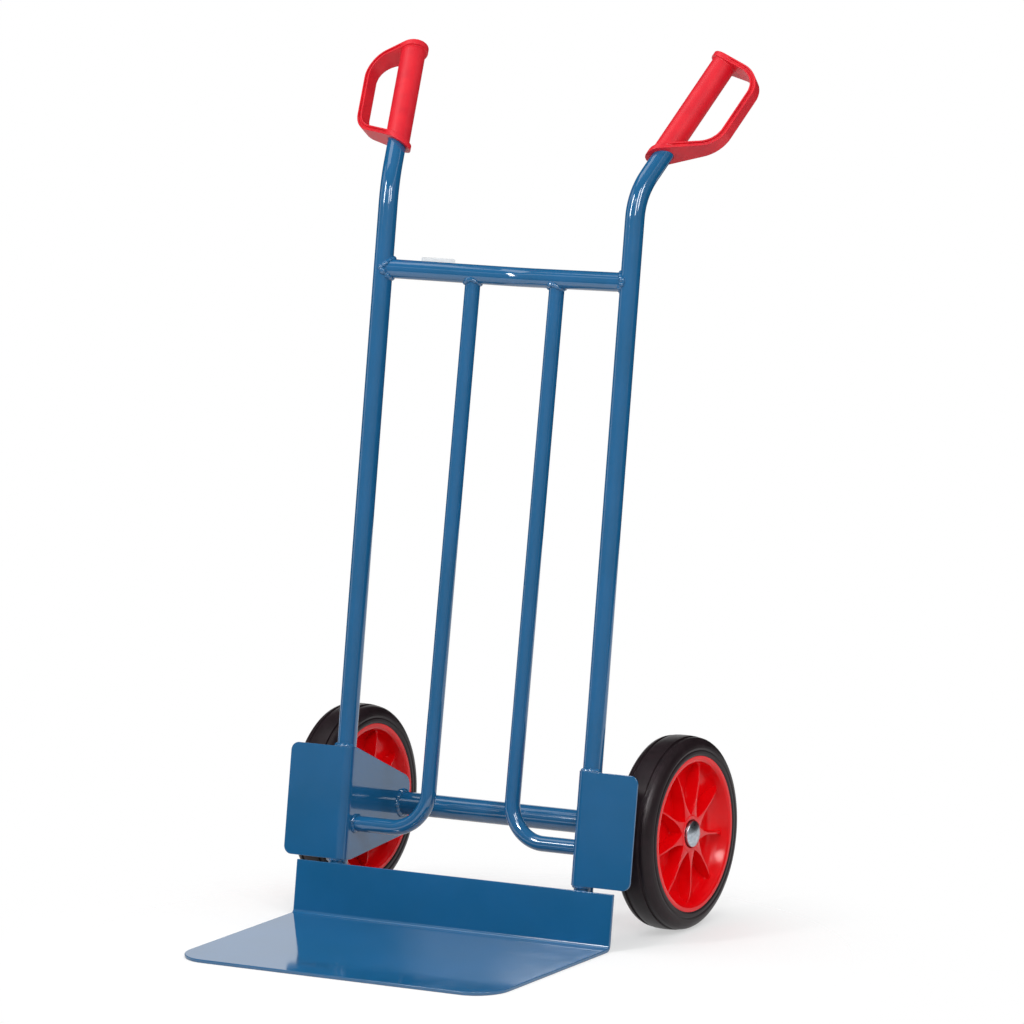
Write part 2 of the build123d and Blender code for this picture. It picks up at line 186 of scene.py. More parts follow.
# Bright zinc plate on pressed steel: a cool grey metal with a faint crystal mottle.
# The crystals are drawn coarse enough to show.
def makeZincSteel():
    look = {"tones": ((0, "#C6CED6"), (1, "#A3ACB5")), "crystal": 3.5,
            "roughness": (0.24, 0.38), "bump": 0.08, "depth": 0.3}
    material, tree, place = startMaterial("brightZincSteel")
    crystal = addNode(tree, "ShaderNodeTexVoronoi", {
        "Vector": place, "Scale": perMetre(look["crystal"])}).outputs["Distance"]
    colour = addNode(tree, "ShaderNodeValToRGB", {"Fac": crystal}, look["tones"])
    polish = addNode(tree, "ShaderNodeMapRange", {
        "Value": crystal, "To Min": look["roughness"][0], "To Max": look["roughness"][1]})
    bump = addNode(tree, "ShaderNodeBump", {
        "Height": crystal, "Strength": look["bump"], "Distance": look["depth"] / 1000})
    closeMaterial(tree, addNode(tree, "ShaderNodeBsdfPrincipled", {
        "Base Color": colour.outputs["Color"], "Metallic": 1.0,
        "Roughness": polish.outputs["Result"], "Normal": bump.outputs["Normal"]}))
    return material


# Moulded polyethylene: satin, black in the plugs, milky in the bearing cages, white in the plate.
def makePolyethylene(name, shade, plain, cloudSize):
    look = {"tones": ((0.3, shade), (0.7, plain)), "roughness": (0.4, 0.55),
            "bump": 0.1, "depth": 0.2}
    material, tree, place = startMaterial(name)
    cloud = addNode(tree, "ShaderNodeTexNoise", {
        "Vector": place, "Scale": perMetre(cloudSize), "Detail": 4}).outputs["Fac"]
    colour = addNode(tree, "ShaderNodeValToRGB", {"Fac": cloud}, look["tones"])
    sheen = addNode(tree, "ShaderNodeMapRange", {
        "Value": cloud, "To Min": look["roughness"][0], "To Max": look["roughness"][1]})
    bump = addNode(tree, "ShaderNodeBump", {
        "Height": cloud, "Strength": look["bump"], "Distance": look["depth"] / 1000})
    closeMaterial(tree, addNode(tree, "ShaderNodeBsdfPrincipled", {
        "Base Color": colour.outputs["Color"], "Roughness": sheen.outputs["Result"],
        "Normal": bump.outputs["Normal"], "IOR": 1.51}))
    return material


blueEnamel = makeBlueEnamel()
redGripVinyl = makeRedGripVinyl()
redRimPlastic = makeRedRimPolypropylene()
blackRubber = makeBlackRubber()
zincSteel = makeZincSteel()
blackPlastic = makePolyethylene("blackPolyethylene", "#121112", "#1C1B1C", 3)
cagePlastic = makePolyethylene("naturalPolyethylene", "#D2CEBE", "#E2DFD2", 5)
platePlastic = makePolyethylene("whitePolyethylene", "#D8DADB", "#E2E4E5", 5)
print("materials made:", len(bpy.data.materials))


def newPiece(name, mesh, material):
    piece = bpy.data.objects.new(name, mesh)
    scene.collection.objects.link(piece)
    mesh.materials.clear()
    mesh.materials.append(material)
    return piece


def dress(piece, body, slotName, *nodes):
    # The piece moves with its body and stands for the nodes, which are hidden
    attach(piece, body)
    if nodes:
        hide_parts(*nodes)
    return piece


def smoothMesh(mesh, sharpAngle=35):
    mesh.shade_smooth()
    mesh.set_sharp_from_angle(angle=radians(sharpAngle))


def tidyMesh(mesh, gap, sliver=0):
    # Doubles merge, slivers go and faces turn outwards
    shape = bmesh.new()
    shape.from_mesh(mesh)
    bmesh.ops.remove_doubles(shape, verts=shape.verts, dist=gap)
    if sliver:
        bmesh.ops.dissolve_degenerate(shape, edges=shape.edges, dist=sliver)
    bmesh.ops.recalc_face_normals(shape, faces=shape.faces)
    shape.to_mesh(mesh)
    shape.free()


def makePlain(piece):
    # Modifiers become a plain mesh
    evaluated = piece.evaluated_get(bpy.context.evaluated_depsgraph_get())
    made = bpy.data.meshes.new_from_object(evaluated)
    old = piece.data
    piece.modifiers.clear()
    piece.data = made
    bpy.data.meshes.remove(old)
    made.name = piece.name
    return piece


def mirroredPiece(piece, name):
    mesh = piece.data.copy()
    mesh.transform(mirrorX)
    mesh.flip_normals()
    return newPiece(name, mesh, piece.data.materials[0])


def startTree(name, **inputs):
    tree = bpy.data.node_groups.new(name, "GeometryNodeTree")
    sockets = {"Geometry": "NodeSocketGeometry", **inputs, "Material": "NodeSocketMaterial"}
    for socket, kind in sockets.items():
        tree.interface.new_socket(name=socket, in_out="INPUT", socket_type=kind)
    tree.interface.new_socket(name="Geometry", in_out="OUTPUT", socket_type="NodeSocketGeometry")
    return tree, addNode(tree, "NodeGroupInput").outputs


def closeTree(tree, geometry, material):
    smooth = addNode(tree, "GeometryNodeSetShadeSmooth", {"Geometry": geometry})
    real = addNode(tree, "GeometryNodeRealizeInstances", {"Geometry": smooth.outputs["Geometry"]})
    coloured = addNode(tree, "GeometryNodeSetMaterial", {
        "Geometry": real.outputs["Geometry"], "Material": material})
    addNode(tree, "NodeGroupOutput", {"Geometry": coloured.outputs["Geometry"]})
    return tree


def runTree(piece, tree, material, **values):
    modifier = piece.modifiers.new(tree.name, "NODES")
    modifier.node_group = tree
    values["Material"] = material
    for item in tree.interface.items_tree:
        if item.in_out == "INPUT" and item.name in values:
            modifier[item.identifier] = values[item.name]
    return makePlain(piece)


def makeTubeTree():
    # A round tube along a line of corners, each corner bent to one radius
    tree, given = startTree(
        "bentTube", Radius="NodeSocketFloat", BendRadius="NodeSocketFloat",
        BendSteps="NodeSocketInt", Around="NodeSocketInt")
    line = addNode(tree, "GeometryNodeMeshToCurve", {"Mesh": given["Geometry"]})
    bent = addNode(tree, "GeometryNodeFilletCurve", {
        "Curve": line.outputs["Curve"], "Count": given["BendSteps"],
        "Radius": given["BendRadius"]}, mode="POLY")
    ring = addNode(tree, "GeometryNodeCurvePrimitiveCircle", {
        "Resolution": given["Around"], "Radius": given["Radius"]})
    tube = addNode(tree, "GeometryNodeCurveToMesh", {
        "Curve": bent.outputs["Curve"], "Profile Curve": ring.outputs["Curve"]})
    return closeTree(tree, tube.outputs["Mesh"], given["Material"])


def makeWeldTree():
    # A run of weld: a bead whose thickness swells at each ripple and wanders a little
    rings = {"perRipple": 5.0, "around": 12, "wanderScale": 0.22}
    tree, given = startTree(
        "weldBead", BeadRadius="NodeSocketFloat", RipplePitch="NodeSocketFloat",
        RippleDepth="NodeSocketFloat", Wander="NodeSocketFloat", Seed="NodeSocketFloat")
    line = addNode(tree, "GeometryNodeMeshToCurve", {"Mesh": given["Geometry"]})
    step = addNode(tree, "ShaderNodeMath", {
        0: given["RipplePitch"], 1: rings["perRipple"]}, operation="DIVIDE")
    even = addNode(tree, "GeometryNodeResampleCurve", {
        "Curve": line.outputs["Curve"], "Length": step.outputs[0]}, mode="LENGTH")
    along = addNode(tree, "GeometryNodeSplineParameter").outputs["Length"]
    turns = addNode(tree, "ShaderNodeMath", {
        0: along, 1: given["RipplePitch"]}, operation="DIVIDE")
    angle = addNode(tree, "ShaderNodeMath", {0: turns.outputs[0], 1: 2 * pi}, operation="MULTIPLY")
    wave = addNode(tree, "ShaderNodeMath", {0: angle.outputs[0]}, operation="SINE")
    ripple = addNode(tree, "ShaderNodeMath", {
        0: wave.outputs[0], 1: given["RippleDepth"]}, operation="MULTIPLY")
    noise = addNode(tree, "ShaderNodeTexNoise", {
        "W": given["Seed"], "Scale": rings["wanderScale"], "Detail": 1.0}, noise_dimensions="4D")
    drift = addNode(tree, "ShaderNodeMath", {0: noise.outputs["Fac"], 1: 0.5}, operation="SUBTRACT")
    uneven = addNode(tree, "ShaderNodeMath", {
        0: drift.outputs[0], 1: given["Wander"]}, operation="MULTIPLY")
    swell = addNode(tree, "ShaderNodeMath", {0: ripple.outputs[0], 1: uneven.outputs[0]})
    scale = addNode(tree, "ShaderNodeMath", {0: swell.outputs[0], 1: 1.0})
    ring = addNode(tree, "GeometryNodeCurvePrimitiveCircle", {
        "Resolution": rings["around"], "Radius": given["BeadRadius"]})
    bead = addNode(tree, "GeometryNodeCurveToMesh", {
        "Curve": even.outputs["Curve"], "Profile Curve": ring.outputs["Curve"],
        "Scale": scale.outputs[0], "Fill Caps": True})
    return closeTree(tree, bead.outputs["Mesh"], given["Material"])


def makeSpokeTree():
    # Copies of one shape round the wheel's axis, joined to what they stand on
    tree, given = startTree("spokeRing", Spoke="NodeSocketObject", Count="NodeSocketInt")
    spoke = addNode(tree, "GeometryNodeObjectInfo", {"Object": given["Spoke"]})
    points = addNode(tree, "GeometryNodePoints", {"Count": given["Count"]})
    index = addNode(tree, "GeometryNodeInputIndex").outputs["Index"]
    share = addNode(tree, "ShaderNodeMath", {0: index, 1: given["Count"]}, operation="DIVIDE")
    angle = addNode(tree, "ShaderNodeMath", {0: share.outputs[0], 1: 2 * pi}, operation="MULTIPLY")
    euler = addNode(tree, "ShaderNodeCombineXYZ", {"X": angle.outputs[0]})
    turn = addNode(tree, "FunctionNodeEulerToRotation", {"Euler": euler.outputs["Vector"]})
    copies = addNode(tree, "GeometryNodeInstanceOnPoints", {
        "Points": points.outputs["Points"], "Instance": spoke.outputs["Geometry"],
        "Rotation": turn.outputs["Rotation"]})
    joined = addNode(tree, "GeometryNodeJoinGeometry", {"Geometry": given["Geometry"]})
    tree.links.new(copies.outputs["Instances"], joined.inputs["Geometry"])
    return closeTree(tree, joined.outputs["Geometry"], given["Material"])


tubeTree = makeTubeTree()
weldTree = makeWeldTree()
spokeTree = makeSpokeTree()


def lineMesh(name, points, closed=False):
    mesh = bpy.data.meshes.new(name)
    count = len(points)
    edges = [(i, (i + 1) % count) for i in range(count if closed else count - 1)]
    mesh.from_pydata([tuple(p) for p in points], edges, [])
    return mesh


# Frame tubes
tubes = {
    "uprightRadius": 12.5, "barRadius": 10.0, "axleTubeRadius": 15.0, "wall": 2.0,
    "ahead": 127.0, "halfSpacing": 183.0, "foot": -141.99, "around": 56, "bendSteps": 24,
    "crossbarHeight": 694.5, "crossbarBow": 40.0, "crossbarBend": 120.0,
    "barHalfSpacing": 62.5, "barBend": 50.0, "barLegHeight": -26.0, "barFootAhead": 115.0,
    "handleCorner": 807.0, "handleBend": 35.4, "handleSplay": 22.9, "handleBendRadius": 95.0,
    "handleEnd": 217.8, "cheekInner": 167.5, "seatDepth": 0.6, "axleTubeWall": 4.8,
    "sharpAngle": 50,
}
up = Vector((0, 0, 1))
handleBend, handleSplay = radians(tubes["handleBend"]), radians(tubes["handleSplay"])
handleDirection = Vector((
    sin(handleSplay) * sin(handleBend), cos(handleSplay) * sin(handleBend), cos(handleBend)))
uprightFoot = Vector((tubes["halfSpacing"], -tubes["ahead"], tubes["foot"]))
handleCorner = Vector((tubes["halfSpacing"], -tubes["ahead"], tubes["handleCorner"]))
handleTip = handleCorner + handleDirection * tubes["handleEnd"]
crossbarEnd = Vector((tubes["halfSpacing"], -tubes["ahead"], tubes["crossbarHeight"]))
crossbarMiddle = Vector((0, tubes["crossbarBow"] - tubes["ahead"], tubes["crossbarHeight"]))
crossbarDirection = (crossbarEnd - crossbarMiddle).normalized()
barTopBack = tubes["crossbarBow"] * (1 - tubes["barHalfSpacing"] / tubes["halfSpacing"])
barTop = Vector((
    tubes["barHalfSpacing"], barTopBack - tubes["ahead"], tubes["crossbarHeight"]))
barCorner = Vector((tubes["barHalfSpacing"], -tubes["barFootAhead"], tubes["barLegHeight"]))
barEnd = Vector((tubes["cheekInner"], -tubes["barFootAhead"], tubes["barLegHeight"]))
barDirection = (barTop - barCorner).normalized()


def meetTube(point, direction, axisPoint, axisDirection, radius):
    # Where a line along direction first meets a round tube, or passes nearest to it
    flat = direction - axisDirection * direction.dot(axisDirection)
    offset = point - axisPoint
    offset = offset - axisDirection * offset.dot(axisDirection)
    a, b = flat.dot(flat), flat.dot(offset)
    root = max(b * b - a * (offset.dot(offset) - radius * radius), 0)
    return point - direction * ((b + sqrt(root)) / a)


def sweepTube(name, points, radius, bendRadius):
    piece = newPiece(name, lineMesh(name, points), blueEnamel)
    return runTree(piece, tubeTree, blueEnamel, Radius=radius, BendRadius=bendRadius,
                   BendSteps=tubes["bendSteps"], Around=tubes["around"])


def fitEnd(piece, last, direction, axisPoint, axisDirection, radius):
    # The tube's end ring slides along the tube onto the one it is welded to
    verts = piece.data.vertices
    count = tubes["around"]
    for vert in verts[len(verts) - count:] if last else verts[:count]:
        vert.co = meetTube(vert.co, direction, axisPoint, axisDirection, radius)


def hollow(piece, matrix, wall=tubes["wall"]):
    # A wall inwards from the tube's outside, then the tube in its place
    tidyMesh(piece.data, gap=1e-4)
    thick = piece.modifiers.new("wall", "SOLIDIFY")
    thick.thickness = wall
    thick.offset = -1
    makePlain(piece)
    piece.data.transform(matrix)
    smoothMesh(piece.data, tubes["sharpAngle"])
    return piece


upright = sweepTube(
    "uprightLeft", [uprightFoot, handleCorner, handleTip],
    tubes["uprightRadius"], tubes["handleBendRadius"])
dress(hollow(upright, benchToRow), "frame", "blue_paint", "upright_left")
dress(mirroredPiece(upright, "uprightRight"), "frame", "blue_paint", "upright_right")

crossbarFar = Vector((-crossbarEnd.x, crossbarEnd.y, crossbarEnd.z))
crossbarFarDirection = Vector((-crossbarDirection.x, crossbarDirection.y, 0))
crossbar = sweepTube(
    "crossbar", [crossbarEnd, crossbarMiddle, crossbarFar],
    tubes["uprightRadius"], tubes["crossbarBend"])
seat = tubes["uprightRadius"] - tubes["seatDepth"]
fitEnd(crossbar, False, crossbarDirection, crossbarEnd, up, seat)
fitEnd(crossbar, True, crossbarFarDirection, crossbarFar, up, seat)
dress(hollow(crossbar, benchToRow), "frame", "blue_paint", "crossbar")

innerBar = sweepTube(
    "innerBarLeft", [barTop, barCorner, barEnd], tubes["barRadius"], tubes["barBend"])
fitEnd(innerBar, False, barDirection, crossbarEnd, crossbarDirection, seat)
dress(hollow(innerBar, benchToRow), "frame", "blue_paint", "inner_bar_left")
dress(mirroredPiece(innerBar, "innerBarRight"), "frame", "blue_paint", "inner_bar_right")

axleTubeEnds = [Vector((side * tubes["cheekInner"], 0, 0)) for side in (1, -1)]
axleTube = sweepTube("axleTube", axleTubeEnds, tubes["axleTubeRadius"], 0)
dress(hollow(axleTube, axleToRow, tubes["axleTubeWall"]), "frame", "blue_paint", "axle_tube")
print("frame tubes swept")


# Folded sheets and hand grips start from the solids, merged into clean faces
def solidCopy(node, flatAngle=0.4):
    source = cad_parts[node].data
    mesh = bpy.data.meshes.new(node)
    mesh.from_pydata([v.co for v in source.vertices], [], [p.vertices for p in source.polygons])
    shape = bmesh.new()
    shape.from_mesh(mesh)
    bmesh.ops.remove_doubles(shape, verts=shape.verts, dist=2e-6)
    if flatAngle:
        bmesh.ops.dissolve_limit(
            shape, angle_limit=radians(flatAngle), verts=shape.verts, edges=shape.edges)
    shape.to_mesh(mesh)
    shape.free()
    return mesh


sheets = {"edgeRound": 0.6, "toeEdgeRound": 0.9, "edgeSteps": 3, "edgeAngle": 40}


def foldedSheet(name, node, edgeRound):
    piece = newPiece(name, solidCopy(node), blueEnamel)
    piece.data.shade_smooth()
    edge = piece.modifiers.new("deburred edge", "BEVEL")
    edge.width = edgeRound / 1000
    edge.segments = sheets["edgeSteps"]
    edge.limit_method = "ANGLE"
    edge.angle_limit = radians(sheets["edgeAngle"])
    flat = piece.modifiers.new("flat faces", "WEIGHTED_NORMAL")
    flat.weight = 100
    return makePlain(piece)


for side in ("left", "right"):
    node = "wheel_bracket_" + side
    bracket = foldedSheet("wheelBracket" + side.title(), node, sheets["edgeRound"])
    dress(bracket, "frame", "blue_paint", node)
toePlate = foldedSheet("toePlate", "toe_plate", sheets["toeEdgeRound"])
dress(toePlate, "frame", "blue_paint", "toe_plate")
print("sheets folded")

grips = {"voxel": 0.45, "ease": 0.5, "rounds": 8, "keep": 0.25, "turn": -6.9}
loopTurn = radians(grips["turn"])
# The guard's own frame: Z along the handle, X toward the loop
handleOut = (Vector((1, 0, 0)) - handleDirection * handleDirection.x).normalized()
handleAhead = handleOut.cross(handleDirection)
loopDirection = handleOut * cos(loopTurn) + handleAhead * sin(loopTurn)
gripTurn = Matrix((loopDirection, handleDirection.cross(loopDirection), handleDirection))
gripPlace = benchToRow @ Matrix.Translation(handleCorner) @ gripTurn.transposed().to_4x4()


def mouldedGrip(name, node):
    # Moulded edges: the solid is remeshed finely and eased, then thinned again
    piece = newPiece(name, solidCopy(node, 0), redGripVinyl)
    piece.data.transform(gripPlace.inverted())
    remesh = piece.modifiers.new("skin", "REMESH")
    remesh.mode = "VOXEL"
    remesh.voxel_size = grips["voxel"]
    ease = piece.modifiers.new("ease", "SMOOTH")
    ease.factor = grips["ease"]
    ease.iterations = grips["rounds"]
    thin = piece.modifiers.new("thin", "DECIMATE")
    thin.ratio = grips["keep"]
    makePlain(piece)
    piece.data.transform(gripPlace)
    piece.data.shade_smooth()
    return piece


grip = mouldedGrip("gripLeft", "grip_left")
dress(grip, "frame", "red_grip_plastic", "grip_left")
dress(mirroredPiece(grip, "gripRight"), "frame", "red_grip_plastic", "grip_right")
print("grips moulded:", len(grip.data.polygons), "faces each")


def softCorners(points, arcStep=15):
    # (along, out, radius) corners become a closed line with those corners rounded
    line = []
    count = len(points)
    for i, point in enumerate(points):
        corner = Vector(point[:2])
        radius = point[2] if len(point) > 2 else 0
        if not radius:
            line.append(corner)
            continue
        toBefore = (Vector(points[i - 1][:2]) - corner).normalized()
        toAfter = (Vector(points[(i + 1) % count][:2]) - corner).normalized()
        half = toBefore.angle(toAfter) / 2
        centre = corner + (toBefore + toAfter).normalized() * (radius / sin(half))
        start = corner + toBefore * (radius / tan(half)) - centre
        turn = pi - 2 * half
        if toBefore.x * toAfter.y - toBefore.y * toAfter.x > 0:
            turn = -turn
        steps = max(2, ceil(abs(turn) / radians(arcStep)))
        for k in range(steps + 1):
            angle = turn * k / steps
            line.append(centre + Vector((
                start.x * cos(angle) - start.y * sin(angle),
                start.x * sin(angle) + start.y * cos(angle))))
    return line


def turnedMesh(name, line, around=128):
    # A closed section of (along the axle, radius) points turned round X
    verts = [(p.x, p.y * cos(2 * pi * k / around), p.y * sin(2 * pi * k / around))
             for k in range(around) for p in line]
    count = len(line)
    faces = []
    for k in range(around):
        here, there = k * count, (k + 1) % around * count
        for i in range(count):
            j = (i + 1) % count
            faces.append((here + i, here + j, there + j, there + i))
    mesh = bpy.data.meshes.new(name)
    mesh.from_pydata(verts, [], faces)
    tidyMesh(mesh, gap=1e-4, sliver=1e-5)
    return mesh


def turnedPair(name, node, line, material, slotName, bodies, along=0, around=128):
    # The left piece on the axle and its mirror image on the right
    mesh = turnedMesh(name + "Left", line, around)
    mesh.transform(axleToRow @ Matrix.Translation((along, 0, 0)))
    smoothMesh(mesh)
    left = dress(newPiece(name + "Left", mesh, material), bodies[0], slotName, node + "_left")
    dress(mirroredPiece(left, name + "Right"), bodies[1], slotName, node + "_right")


onWheels = ("wheel_left", "wheel_right")
onFrame = ("frame", "frame")

# Wheels, measured from the wheel's own middle plane as (along, radius, corner)
wheel = {"centre": 242.0, "ribCount": 9, "tyreAround": 192, "rimAround": 160}
tyreHalf = [
    (0, 125.0), (6, 124.9), (11, 124.5, 0.6), (11.5, 122.4, 0.5), (15.0, 122.0, 0.5),
    (15.6, 123.7, 0.6), (19, 123.0, 4), (22, 121.3, 4), (24.4, 118.5, 5), (26.2, 114.6, 7),
    (27.1, 110.4, 1.6), (26.3, 107.6, 0.6), (27.2, 106.4, 0.5), (27.5, 103.0, 1.2),
    (26.7, 100.5), (21.7, 100.5), (21.7, 96.0),
]
tyreSection = tyreHalf + [(-p[0],) + p[1:] for p in reversed(tyreHalf[1:])]
turnedPair("tyre", "tyre", softCorners(tyreSection), blackRubber, "black_rubber", onWheels,
           wheel["centre"], wheel["tyreAround"])

rim = {
    "hubHalf": 22.0, "hubFace": 23.0, "hubEdge": 0.6, "hubShoulder": 21.4, "hubRadius": 24.0,
    "hubRoot": 26.0, "rootFillet": 2.0,
    "recessRadius": 18.4, "recessDepth": 4.0, "recessEdge": 0.4, "bore": 15.3,
    "webHalf": 3.0, "dishRadius": 86.0, "dishFillet": 16.0,
    "lipHalf": 26.7, "lipRadius": 100.5, "lipFace": 7.4, "lipWidth": 5.0, "lipFillet": 4.5,
    "lipEdge": 0.5, "seatRadius": 96.0, "sharpAngle": 40,
    "ribRoot": 22.0, "ribTip": 93.1, "ribHalf": 1.3, "neck": 52.0, "flare": 80.0,
    "hubFlare": 8.6, "endFlare": 5.0, "ribDraft": 0.35, "ribRound": 0.5, "ribSteps": 40,
    "ribFaces": [(22.0, 21.4), (69.0, 20.4), (83.0, 18.6), (93.5, 15.6)],  # radius, height
}
rimHalf = [
    (rim["hubHalf"], rim["hubFace"], rim["hubEdge"]), (rim["hubShoulder"], rim["hubRadius"]),
    (rim["webHalf"], rim["hubRoot"], rim["rootFillet"]),
    (rim["webHalf"], rim["dishRadius"], rim["dishFillet"]),
    (rim["lipHalf"], rim["lipRadius"] - rim["lipFace"], rim["lipFillet"]),
    (rim["lipHalf"], rim["lipRadius"], rim["lipEdge"]),
    (rim["lipHalf"] - rim["lipWidth"], rim["lipRadius"]),
    (rim["lipHalf"] - rim["lipWidth"], rim["seatRadius"]),
]
recessFloor = rim["hubHalf"] - rim["recessDepth"]
hubInside = [
    (-rim["hubHalf"], rim["bore"]), (recessFloor, rim["bore"]),
    (recessFloor, rim["recessRadius"], rim["recessEdge"]),
    (rim["hubHalf"], rim["recessRadius"], rim["recessEdge"]),
]
rimSection = rimHalf + [(-p[0],) + p[1:] for p in reversed(rimHalf)] + hubInside


def ribWidth(out):
    # Half the rib's thickness: thin in the middle, spread by an arc at the hub and the dish wall
    for edge, end, spread in ((rim["neck"], rim["ribRoot"], rim["hubFlare"]),
                              (rim["flare"], rim["ribTip"], rim["endFlare"])):
        reach, rise = abs(end - edge), spread - rim["ribHalf"]
        arc = (reach * reach + rise * rise) / (2 * rise)
        past = (edge - out) if end < edge else (out - edge)
        if past > 0:
            return rim["ribHalf"] + arc - sqrt(arc * arc - past * past)
    return rim["ribHalf"]


def ribHeight(out):
    # The rib's face above the middle of the web, in straight runs
    for (r0, h0), (r1, h1) in zip(rim["ribFaces"], rim["ribFaces"][1:]):
        if out <= r1:
            return h0 + (h1 - h0) * (out - r0) / (r1 - r0)
    return rim["ribFaces"][-1][1]


def ribMesh():
    # Rounded sections lofted from the hub to the dish wall, one rib for both faces of the web
    steps = rim["ribSteps"]
    rings = []
    for i in range(steps + 1):
        out = rim["ribRoot"] + (rim["ribTip"] - rim["ribRoot"]) * i / steps
        high, wide = ribHeight(out), ribWidth(out)
        corner = min(rim["ribRound"], wide * 0.45)  # a little under half of the rib's width
        foot = wide + rim["ribDraft"]
        section = softCorners([(high, wide, corner), (0, foot), (-high, wide, corner),
                               (-high, -wide, corner), (0, -foot), (high, -wide, corner)],
                              arcStep=30)
        rings.append([(p.x, p.y, -out) for p in section])
    count = len(rings[0])
    verts = [v for ring in rings for v in ring]
    faces = [(i * count + j, i * count + (j + 1) % count,
              (i + 1) * count + (j + 1) % count, (i + 1) * count + j)
             for i in range(steps) for j in range(count)]
    faces += [tuple(range(count)), tuple(range(steps * count, (steps + 1) * count))]
    mesh = bpy.data.meshes.new("rimRib")
    mesh.from_pydata(verts, [], faces)
    tidyMesh(mesh, gap=1e-5)
    return mesh


rib = newPiece("rimRib", ribMesh(), redRimPlastic)
rimMesh = turnedMesh("rimLeft", softCorners(rimSection), wheel["rimAround"])
rimBody = newPiece("rimLeft", rimMesh, redRimPlastic)
runTree(rimBody, spokeTree, redRimPlastic, Spoke=rib, Count=wheel["ribCount"])
bpy.data.objects.remove(rib)
rimBody.data.transform(axleToRow @ Matrix.Translation((wheel["centre"], 0, 0)))
smoothMesh(rimBody.data, rim["sharpAngle"])
dress(rimBody, "wheel_left", "red_rim_plastic", "rim_left")
dress(mirroredPiece(rimBody, "rimRight"), "wheel_right", "red_rim_plastic", "rim_right")
print("wheels turned")

# Axle line: washers, spacers and pressed caps, from the bench's middle outwards
axleLine = {
    "bore": 10.2,  # sleeves are given as start, end, radius and edge
    "spacer": (170.5, 217.7, 14.0, 0.6), "innerWasher": (217.7, 219.7, 17.0, 0.4),
    "outerWasher": (260.3, 262.3, 17.0, 0.4),
}


def sleeve(start, end, radius, edge):
    return softCorners([(start, axleLine["bore"]), (start, radius, edge), (end, radius, edge),
                        (end, axleLine["bore"])])


for name, node in (("spacer", "spacer"), ("innerWasher", "inner_washer"),
                   ("outerWasher", "outer_washer")):
    turnedPair(name, node, sleeve(*axleLine[name]), zincSteel, "zinc_steel", onFrame)

cap = {"start": 262.3, "radius": 17.0, "skirt": 5.0, "height": 10.0, "wall": 1.0, "hole": 10.05,
       "shoulder": 1.6, "foot": 0.3, "domeSteps": 12, "around": 96}


def domeLine(height, skirt, radius, steps):
    # From the middle of a round dome down to the top of the skirt
    rise = height - skirt
    ball = (radius * radius + rise * rise) / (2 * rise)
    return [(height - ball + sqrt(ball * ball - out * out), out)
            for out in (radius * i / steps for i in range(steps))]


capInner = cap["radius"] - cap["wall"]
capOutside = domeLine(cap["height"], cap["skirt"], cap["radius"], cap["domeSteps"])
capInside = domeLine(cap["height"] - cap["wall"], cap["skirt"], capInner, cap["domeSteps"])
capSection = [
    *capOutside, (cap["skirt"], cap["radius"], cap["shoulder"]), (0, cap["radius"], cap["foot"]),
    (0, cap["hole"]), (cap["wall"], cap["hole"]), (cap["wall"], capInner), (cap["skirt"], capInner),
    *reversed(capInside),
]
turnedPair("hubCap", "hub_cap", softCorners(capSection), zincSteel, "zinc_steel", onFrame,
           cap["start"], cap["around"])

# Plugs in the ends of the handles
plug = {"radius": 12.5, "stem": 10.35, "stemLength": 14.0, "head": 4.0, "crown": 0.15,
        "edge": 1.0, "around": 64}
handleAcross = handleDirection.cross(handleOut)
# The section's X runs along the handle
alongHandle = Matrix((handleDirection, handleOut, handleAcross)).transposed().to_4x4()
plugPlace = benchToRow @ Matrix.Translation(handleTip) @ alongHandle
plugSection = softCorners([
    (-plug["stemLength"], 0), (-plug["stemLength"], plug["stem"], plug["edge"]),
    (0, plug["stem"]), (0, plug["radius"]),
    (plug["head"] - plug["crown"], plug["radius"], plug["edge"]),
    (plug["head"], 0)])
plugMesh = turnedMesh("tubePlugLeft", plugSection, plug["around"])
plugMesh.transform(plugPlace)
smoothMesh(plugMesh)
tubePlug = dress(newPiece("tubePlugLeft", plugMesh, blackPlastic), "frame", "black_plastic",
                 "tube_plug_left")
dress(mirroredPiece(tubePlug, "tubePlugRight"), "frame", "black_plastic", "tube_plug_right")

# What stays as its solid: the axle and the bearings inside the hubs
for name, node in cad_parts.items():
    if node.hide_render:
        continue
    node.data.materials.clear()
    node.data.materials.append(cagePlastic if "cage" in name else zincSteel)
print("axle line fitted")

# Welds, painted over with the frame
weld = {
    "bead": 3.4, "fine": 2.9, "seam": 2.8, "pitch": 4.8, "ripple": 0.07, "wander": 2.0,
    "points": 40, "rightSeed": 7.3, "guardEdge": 73.6, "guardWrap": 65, "seamStart": 20,
    "seamEnd": 62, "cheekSeam": (171.9, -119.4), "guardSeam": (190.6, -138.0),
}


def saddleRing(end, direction, radius, axisPoint, axisDirection, axisRadius):
    # Round the end of one tube, on the skin of the tube that it meets
    across = direction.cross(axisDirection).normalized()
    along = across.cross(direction)
    ring = []
    for k in range(weld["points"]):
        angle = 2 * pi * k / weld["points"]
        spot = end + (across * cos(angle) + along * sin(angle)) * radius
        ring.append(meetTube(spot, direction, axisPoint, axisDirection, axisRadius))
    return ring


def cheekRing(centre, radius):
    # Round a tube on the flat face of the cheek
    angles = [2 * pi * k / weld["points"] for k in range(weld["points"])]
    return [centre + Vector((0, cos(a), sin(a))) * radius for a in angles]


